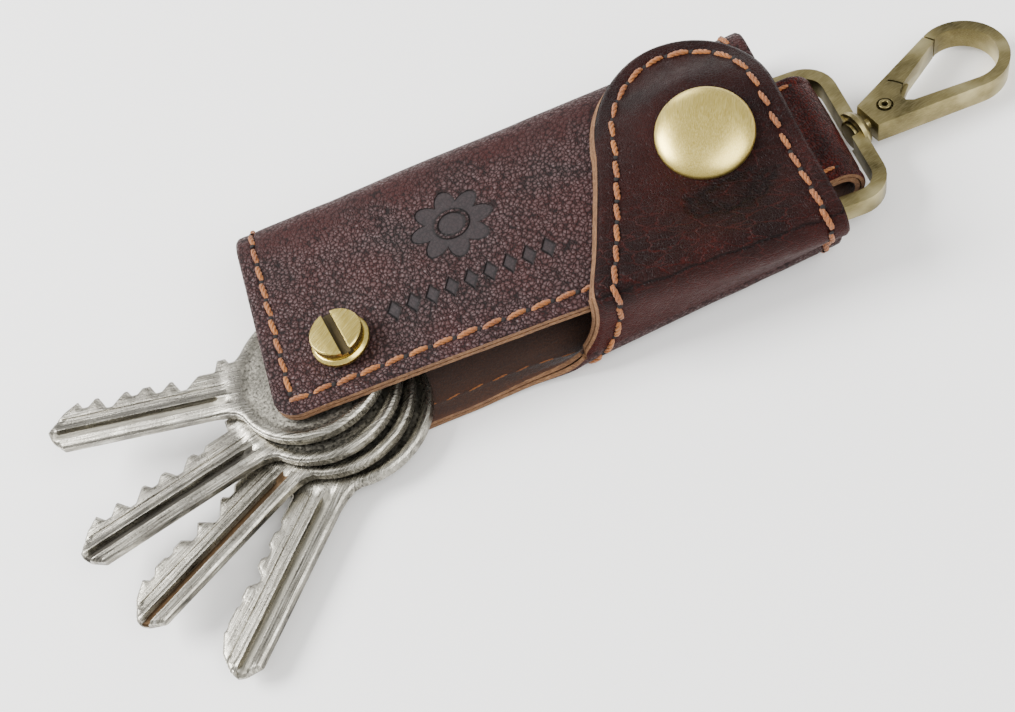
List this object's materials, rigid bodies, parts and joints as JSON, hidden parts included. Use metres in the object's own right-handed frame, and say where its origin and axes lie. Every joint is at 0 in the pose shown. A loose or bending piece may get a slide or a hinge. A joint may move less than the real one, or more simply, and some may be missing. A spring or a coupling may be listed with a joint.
{
  "type": "key organiser",
  "caption": "Folded leather key case with keys fanned out on a slotted binding screw, a snap-closed flap, and a swivel trigger hook on a leather tab.",
  "frame": {"origin": "on the binding screw's axis, at the case's resting plane", "axes": "+X along the case towards the hook, +Y towards the closed top fold, +Z out of the front face with the snap cap"},
  "size_m": [0.1656, 0.0736, 0.0212],
  "materials": {
    "grain": "dark burgundy-brown pebbled grain, satin",
    "suede": "tan suede lining with raw cut edges",
    "tab": "reddish-brown leather with a fine scale emboss",
    "brass": "satin brushed antique brass plate",
    "antique": "darkened antique brass plate, semi-gloss",
    "nickel": "worn nickel plate"
  },
  "bodies": {
    "case": {"case_grain_leather": "grain", "case_suede_lining": "suede", "tab_grain_leather": "tab", "tab_suede_lining": "suede", "screw_post": "brass", "screw_washer": "brass", "binding_screw": "brass", "snap_stud": "nickel", "snap_post": "brass"},
    "key_1": {"key_1": "nickel"},
    "key_2": {"key_2": "nickel"},
    "key_3": {"key_3": "nickel"},
    "key_4": {"key_4": "nickel"},
    "fold": {"fold_grain_leather": "grain", "fold_suede_lining": "suede"},
    "flap": {"flap_grain_leather": "grain", "flap_suede_lining": "suede", "snap_cap": "brass", "snap_socket": "nickel"},
    "bail": {"swivel_bail": "antique"},
    "hook": {"hook_frame": "antique", "gate_rivet": "antique"},
    "gate": {"hook_gate": "antique"}
  },
  "joints": [
    {"name": "key_1_swing", "type": "hinge", "parent": "case", "child": "key_1", "pos_m": [0, 0, 0.01075], "axis": [0, 0, 1], "range_deg": [-42.6, 139.4]},
    {"name": "key_2_swing", "type": "hinge", "parent": "case", "child": "key_2", "pos_m": [0, 0, 0.00835], "axis": [0, 0, 1], "range_deg": [-68, 114]},
    {"name": "key_3_swing", "type": "hinge", "parent": "case", "child": "key_3", "pos_m": [0, 0, 0.00595], "axis": [0, 0, 1], "range_deg": [-84.5, 97.5]},
    {"name": "key_4_swing", "type": "hinge", "parent": "case", "child": "key_4", "pos_m": [0, 0, 0.00355], "axis": [0, 0, 1], "range_deg": [-104.4, 77.6]},
    {"name": "fold_bend", "type": "hinge", "parent": "case", "child": "fold", "pos_m": [0.0574, -0.01212, 0.00535], "axis": [0.9982, 0.0599, 0], "range_deg": [0, 65]},
    {"name": "flap_bend", "type": "hinge", "parent": "fold", "child": "flap", "pos_m": [0.0577, -0.01395, 0.01045], "axis": [0.9991, -0.0379, -0.017], "range_deg": [0, 65]},
    {"name": "bail_swing", "type": "hinge", "parent": "case", "child": "bail", "pos_m": [0.07276, 0.0066, 0.0065], "axis": [0, -1, 0], "range_deg": [0, 16]},
    {"name": "hook_swivel", "type": "hinge", "parent": "bail", "child": "hook", "pos_m": [0.0872, 0.0066, 0.00524], "axis": [0.9576, 0.2756, -0.0838], "continuous": true},
    {"name": "gate_swing", "type": "hinge", "parent": "hook", "child": "gate", "pos_m": [0.09208, 0.00801, 0.00481], "axis": [-0.0872, 0, -0.9962], "range_deg": [0, 28], "stiffness_Nm_per_rad": 0.01, "springref_deg": -11.46}
  ],
  "couplings": [
    {"joint": "flap_bend", "follows": "fold_bend", "ratio": 1}
  ]
}
